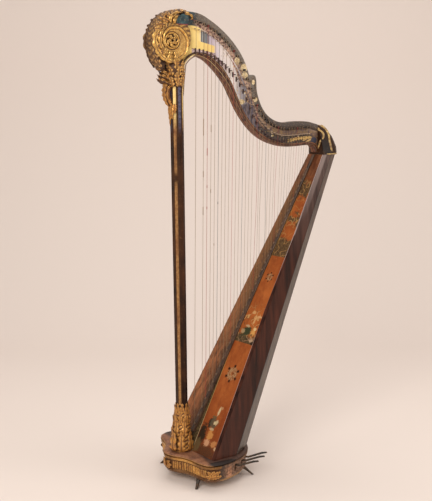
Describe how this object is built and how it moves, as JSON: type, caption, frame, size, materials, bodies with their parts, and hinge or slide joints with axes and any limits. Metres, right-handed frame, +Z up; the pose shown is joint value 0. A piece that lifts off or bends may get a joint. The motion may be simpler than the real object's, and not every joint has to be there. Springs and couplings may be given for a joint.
{
  "type": "pedal harp",
  "caption": "Single-action pedal harp with a carved gilt scroll head, fluted dark column, curved neck, painted soundboard and seven foot pedals.",
  "frame": {"origin": "on the floor, under the middle of the harp's length and width", "axes": "+X from the column towards the soundbox and the player, +Z up, +Y to the player's right"},
  "size_m": [0.77, 0.416, 1.6327],
  "materials": {
    "black_lacquer": "worn dark lacquer",
    "gilt_carving": "old water gilding on carved wood",
    "red_brown_wood": "varnished",
    "painted_soundboard": "painted and varnished spruce",
    "plain_wood": "bare",
    "iron": "dark forged iron",
    "brass": "dull brass",
    "gut": "gut strings"
  },
  "bodies": {
    "frame": {"base_bottom_board": "plain_wood", "base_deck": "red_brown_wood", "base_rim": "gilt_carving", "capital": "gilt_carving", "column_foot_leaves": "gilt_carving", "column_shaft": "black_lacquer", "corner_leaf_left": "gilt_carving", "corner_leaf_right": "gilt_carving", "foot_front_left": "iron", "foot_front_right": "iron", "foot_rear_left": "iron", "foot_rear_right": "iron", "front_shell": "gilt_carving", "head_crest": "gilt_carving", "inner_string_bar": "plain_wood", "leaf_console": "gilt_carving", "neck": "black_lacquer", "neck_mechanism_cover": "black_lacquer", "neck_shoulder": "black_lacquer", "nut_rail": "red_brown_wood", "pedal_pivot_block": "plain_wood", "pedal_pivot_pin": "iron", "pedal_springs": "brass", "scroll_head": "gilt_carving", "soundboard": "painted_soundboard", "soundbox_foot_block": "plain_wood", "soundbox_rib_lower": "plain_wood", "soundbox_rib_upper": "plain_wood", "soundbox_staves": "red_brown_wood", "soundbox_top_block": "plain_wood", "string_rib": "black_lacquer", "strings": "gut"},
    "pedal_d": {"pedal_d": "iron"},
    "rod_d": {"pedal_rod_d": "iron"},
    "hook_set_d": {"hooks_d": "iron"},
    "pedal_c": {"pedal_c": "iron"},
    "rod_c": {"pedal_rod_c": "iron"},
    "hook_set_c": {"hooks_c": "iron"},
    "pedal_b": {"pedal_b": "iron"},
    "rod_b": {"pedal_rod_b": "iron"},
    "hook_set_b": {"hooks_b": "iron"},
    "pedal_e": {"pedal_e": "iron"},
    "rod_e": {"pedal_rod_e": "iron"},
    "hook_set_e": {"hooks_e": "iron"},
    "pedal_f": {"pedal_f": "iron"},
    "rod_f": {"pedal_rod_f": "iron"},
    "hook_set_f": {"hooks_f": "iron"},
    "pedal_g": {"pedal_g": "iron"},
    "rod_g": {"pedal_rod_g": "iron"},
    "hook_set_g": {"hooks_g": "iron"},
    "pedal_a": {"pedal_a": "iron"},
    "rod_a": {"pedal_rod_a": "iron"},
    "hook_set_a": {"hooks_a": "iron"}
  },
  "joints": [
    {"name": "pedal_d_press", "type": "hinge", "parent": "frame", "child": "pedal_d", "pos_m": [-0.29787, -0.0117, 0.055], "axis": [0, 1, 0], "range_deg": [0, 5.5], "stiffness_Nm_per_rad": 8, "springref_deg": -11.46, "deforming": ["pedal_springs"]},
    {"name": "rod_d_slide", "type": "slide", "parent": "frame", "child": "rod_d", "axis": [0.0125, 0, -0.9999], "range_m": [0, 0.0035]},
    {"name": "hooks_d_slide", "type": "slide", "parent": "frame", "child": "hook_set_d", "axis": [0, 1, 0], "range_m": [0, 0.004]},
    {"name": "pedal_c_press", "type": "hinge", "parent": "frame", "child": "pedal_c", "pos_m": [-0.29787, -0.0078, 0.055], "axis": [0, 1, 0], "range_deg": [0, 5.5], "stiffness_Nm_per_rad": 8, "springref_deg": -11.46, "deforming": ["pedal_springs"]},
    {"name": "rod_c_slide", "type": "slide", "parent": "frame", "child": "rod_c", "axis": [0.0125, 0, -0.9999], "range_m": [0, 0.0035]},
    {"name": "hooks_c_slide", "type": "slide", "parent": "frame", "child": "hook_set_c", "axis": [0, 1, 0], "range_m": [0, 0.004]},
    {"name": "pedal_b_press", "type": "hinge", "parent": "frame", "child": "pedal_b", "pos_m": [-0.29787, -0.0039, 0.055], "axis": [0, 1, 0], "range_deg": [0, 5.5], "stiffness_Nm_per_rad": 8, "springref_deg": -11.46, "deforming": ["pedal_springs"]},
    {"name": "rod_b_slide", "type": "slide", "parent": "frame", "child": "rod_b", "axis": [0.0125, 0, -0.9999], "range_m": [0, 0.0035]},
    {"name": "hooks_b_slide", "type": "slide", "parent": "frame", "child": "hook_set_b", "axis": [0, 1, 0], "range_m": [0, 0.004]},
    {"name": "pedal_e_press", "type": "hinge", "parent": "frame", "child": "pedal_e", "pos_m": [-0.29787, 0, 0.055], "axis": [0, 1, 0], "range_deg": [0, 5.5], "stiffness_Nm_per_rad": 8, "springref_deg": -11.46, "deforming": ["pedal_springs"]},
    {"name": "rod_e_slide", "type": "slide", "parent": "frame", "child": "rod_e", "axis": [0.0125, 0, -0.9999], "range_m": [0, 0.0035]},
    {"name": "hooks_e_slide", "type": "slide", "parent": "frame", "child": "hook_set_e", "axis": [0, 1, 0], "range_m": [0, 0.004]},
    {"name": "pedal_f_press", "type": "hinge", "parent": "frame", "child": "pedal_f", "pos_m": [-0.29787, 0.0039, 0.055], "axis": [0, 1, 0], "range_deg": [0, 5.5], "stiffness_Nm_per_rad": 8, "springref_deg": -11.46, "deforming": ["pedal_springs"]},
    {"name": "rod_f_slide", "type": "slide", "parent": "frame", "child": "rod_f", "axis": [0.0125, 0, -0.9999], "range_m": [0, 0.0035]},
    {"name": "hooks_f_slide", "type": "slide", "parent": "frame", "child": "hook_set_f", "axis": [0, 1, 0], "range_m": [0, 0.004]},
    {"name": "pedal_g_press", "type": "hinge", "parent": "frame", "child": "pedal_g", "pos_m": [-0.29787, 0.0078, 0.055], "axis": [0, 1, 0], "range_deg": [0, 5.5], "stiffness_Nm_per_rad": 8, "springref_deg": -11.46, "deforming": ["pedal_springs"]},
    {"name": "rod_g_slide", "type": "slide", "parent": "frame", "child": "rod_g", "axis": [0.0125, 0, -0.9999], "range_m": [0, 0.0035]},
    {"name": "hooks_g_slide", "type": "slide", "parent": "frame", "child": "hook_set_g", "axis": [0, 1, 0], "range_m": [0, 0.004]},
    {"name": "pedal_a_press", "type": "hinge", "parent": "frame", "child": "pedal_a", "pos_m": [-0.29787, 0.0117, 0.055], "axis": [0, 1, 0], "range_deg": [0, 5.5], "stiffness_Nm_per_rad": 8, "springref_deg": -11.46, "deforming": ["pedal_springs"]},
    {"name": "rod_a_slide", "type": "slide", "parent": "frame", "child": "rod_a", "axis": [0.0125, 0, -0.9999], "range_m": [0, 0.0035]},
    {"name": "hooks_a_slide", "type": "slide", "parent": "frame", "child": "hook_set_a", "axis": [0, 1, 0], "range_m": [0, 0.004]}
  ],
  "couplings": [
    {"joint": "rod_d_slide", "follows": "pedal_d_press", "m_per_rad": 0.036},
    {"joint": "hooks_d_slide", "follows": "pedal_d_press", "m_per_rad": 0.0415},
    {"joint": "rod_c_slide", "follows": "pedal_c_press", "m_per_rad": 0.036},
    {"joint": "hooks_c_slide", "follows": "pedal_c_press", "m_per_rad": 0.0415},
    {"joint": "rod_b_slide", "follows": "pedal_b_press", "m_per_rad": 0.036},
    {"joint": "hooks_b_slide", "follows": "pedal_b_press", "m_per_rad": 0.0415},
    {"joint": "rod_e_slide", "follows": "pedal_e_press", "m_per_rad": 0.036},
    {"joint": "hooks_e_slide", "follows": "pedal_e_press", "m_per_rad": 0.0415},
    {"joint": "rod_f_slide", "follows": "pedal_f_press", "m_per_rad": 0.036},
    {"joint": "hooks_f_slide", "follows": "pedal_f_press", "m_per_rad": 0.0415},
    {"joint": "rod_g_slide", "follows": "pedal_g_press", "m_per_rad": 0.036},
    {"joint": "hooks_g_slide", "follows": "pedal_g_press", "m_per_rad": 0.0415},
    {"joint": "rod_a_slide", "follows": "pedal_a_press", "m_per_rad": 0.036},
    {"joint": "hooks_a_slide", "follows": "pedal_a_press", "m_per_rad": 0.0415}
  ]
}
